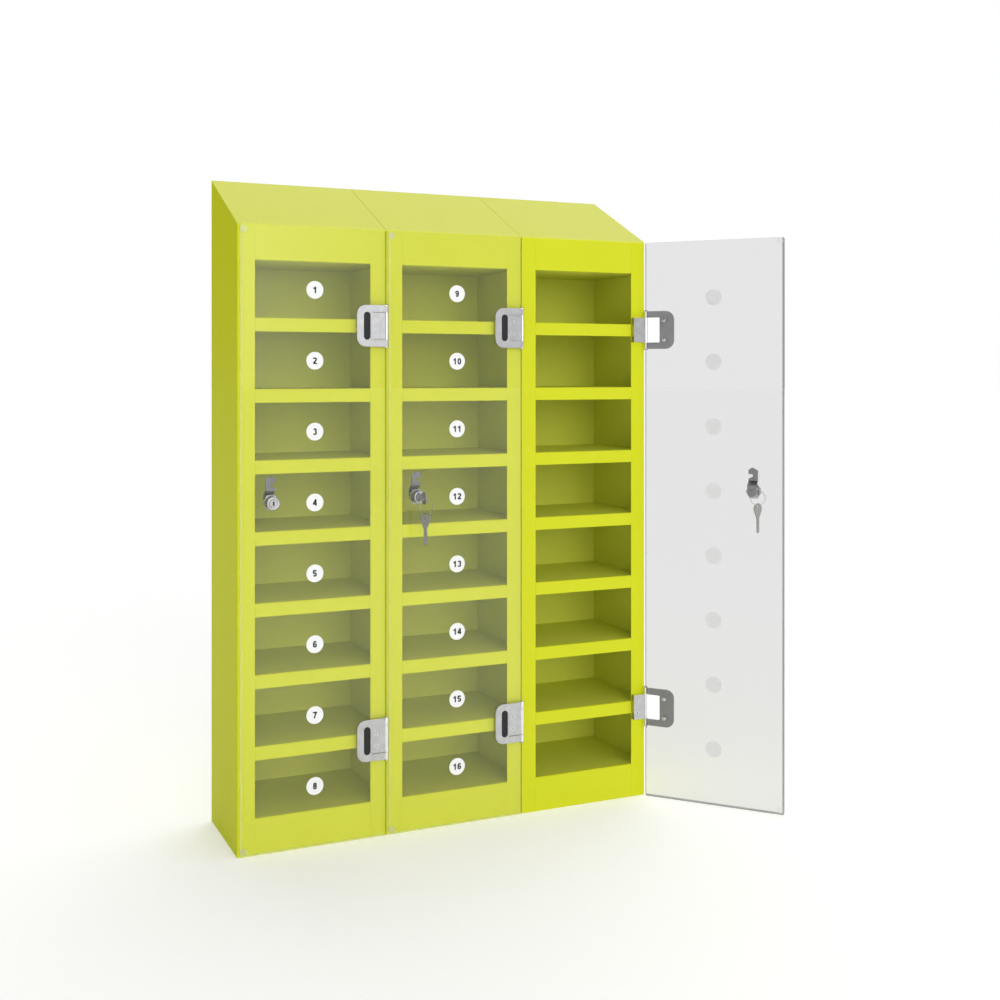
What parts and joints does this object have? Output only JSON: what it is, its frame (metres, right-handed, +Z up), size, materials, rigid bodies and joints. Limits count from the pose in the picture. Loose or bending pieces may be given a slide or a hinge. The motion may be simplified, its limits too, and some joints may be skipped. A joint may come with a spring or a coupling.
{
  "type": "cell phone locker",
  "caption": "Wall locker for phones: steel columns of open compartments under a sloping top, behind clear hinged doors with cam locks.",
  "frame": {"origin": "middle of the underside", "axes": "+X to the right seen from the front, +Y to the back, +Z up"},
  "size_m": [0.9123, 0.374, 1.092],
  "materials": {
    "sheet": "satin powder coat",
    "clear": "clear polished acrylic",
    "hinge_metal": "satin nickel",
    "pin_steel": "plain",
    "black": "matt black",
    "disc": "printed film",
    "bumper": "clear soft plastic",
    "lock_metal": "nickel plated",
    "cam_steel": "zinc plated",
    "key_metal": "nickel plated"
  },
  "bodies": {
    "carcass": {"side_left_1": "sheet", "side_left_2": "sheet", "side_left_3": "sheet", "side_right_1": "sheet", "side_right_2": "sheet", "side_right_3": "sheet", "header_tray_1": "sheet", "header_tray_2": "sheet", "header_tray_3": "sheet", "floor_tray_1": "sheet", "floor_tray_2": "sheet", "floor_tray_3": "sheet", "shelves_1": "sheet", "shelves_2": "sheet", "shelves_3": "sheet", "sloping_top_1": "sheet", "sloping_top_2": "sheet", "sloping_top_3": "sheet", "back_panel": "sheet", "base_panels": "sheet", "frame_hinge_leaves": "hinge_metal", "hinge_pins": "pin_steel", "hinge_screws": "pin_steel"},
    "door_1": {"door_pane_1": "clear", "door_hinge_leaves_1": "hinge_metal", "leaf_covers_1": "black", "leaf_bolts_1": "pin_steel", "number_discs_1": "disc", "door_bumpers_1": "bumper", "lock_housing_1": "lock_metal", "lock_nut_1": "lock_metal"},
    "lock_1": {"lock_plug_1": "lock_metal", "lock_cam_1": "cam_steel"},
    "door_2": {"door_pane_2": "clear", "door_hinge_leaves_2": "hinge_metal", "leaf_covers_2": "black", "leaf_bolts_2": "pin_steel", "number_discs_2": "disc", "door_bumpers_2": "bumper", "lock_housing_2": "lock_metal", "lock_nut_2": "lock_metal"},
    "lock_2": {"lock_plug_2": "lock_metal", "lock_cam_2": "cam_steel", "key_2": "key_metal"},
    "ring_2": {"key_ring_2": "key_metal"},
    "spare_2": {"spare_key_2": "key_metal"},
    "door_3": {"door_pane_3": "clear", "door_hinge_leaves_3": "hinge_metal", "leaf_covers_3": "black", "leaf_bolts_3": "pin_steel", "number_discs_3": "disc", "door_bumpers_3": "bumper", "lock_housing_3": "lock_metal", "lock_nut_3": "lock_metal"},
    "lock_3": {"lock_plug_3": "lock_metal", "lock_cam_3": "cam_steel", "key_3": "key_metal"},
    "ring_3": {"key_ring_3": "key_metal"},
    "spare_3": {"spare_key_3": "key_metal"}
  },
  "joints": [
    {"name": "door_1_hinge", "type": "hinge", "parent": "carcass", "child": "door_1", "pos_m": [-0.127, -0.0975, 0.5], "axis": [0, 0, 1], "range_deg": [0, 132]},
    {"name": "lock_1_turn", "type": "hinge", "parent": "door_1", "child": "lock_1", "pos_m": [-0.321, -0.108, 0.55763], "axis": [0, -1, 0], "range_deg": [0, 90]},
    {"name": "door_2_hinge", "type": "hinge", "parent": "carcass", "child": "door_2", "pos_m": [0.123, -0.0975, 0.5], "axis": [0, 0, 1], "range_deg": [0, 132]},
    {"name": "lock_2_turn", "type": "hinge", "parent": "door_2", "child": "lock_2", "pos_m": [-0.071, -0.108, 0.55763], "axis": [0, -1, 0], "range_deg": [0, 90]},
    {"name": "ring_2_swing", "type": "hinge", "parent": "lock_2", "child": "ring_2", "pos_m": [-0.071, -0.1295, 0.55642], "axis": [-1, 0, 0], "range_deg": [-10, 40]},
    {"name": "spare_2_swing", "type": "hinge", "parent": "ring_2", "child": "spare_2", "pos_m": [-0.071, -0.1295, 0.53043], "axis": [-1, 0, 0], "range_deg": [-10, 30]},
    {"name": "door_3_hinge", "type": "hinge", "parent": "carcass", "child": "door_3", "pos_m": [0.373, -0.0975, 0.5], "axis": [0, 0, 1], "range_deg": [-132, 0]},
    {"name": "lock_3_turn", "type": "hinge", "parent": "door_3", "child": "lock_3", "pos_m": [0.51061, -0.23464, 0.55763], "axis": [0.7431, 0.6691, 0], "range_deg": [0, 90]},
    {"name": "ring_3_swing", "type": "hinge", "parent": "lock_3", "child": "ring_3", "pos_m": [0.52659, -0.22026, 0.55642], "axis": [0.6691, -0.7431, 0], "range_deg": [-10, 40]},
    {"name": "spare_3_swing", "type": "hinge", "parent": "ring_3", "child": "spare_3", "pos_m": [0.52659, -0.22026, 0.53043], "axis": [0.6691, -0.7431, 0], "range_deg": [-10, 30]}
  ]
}
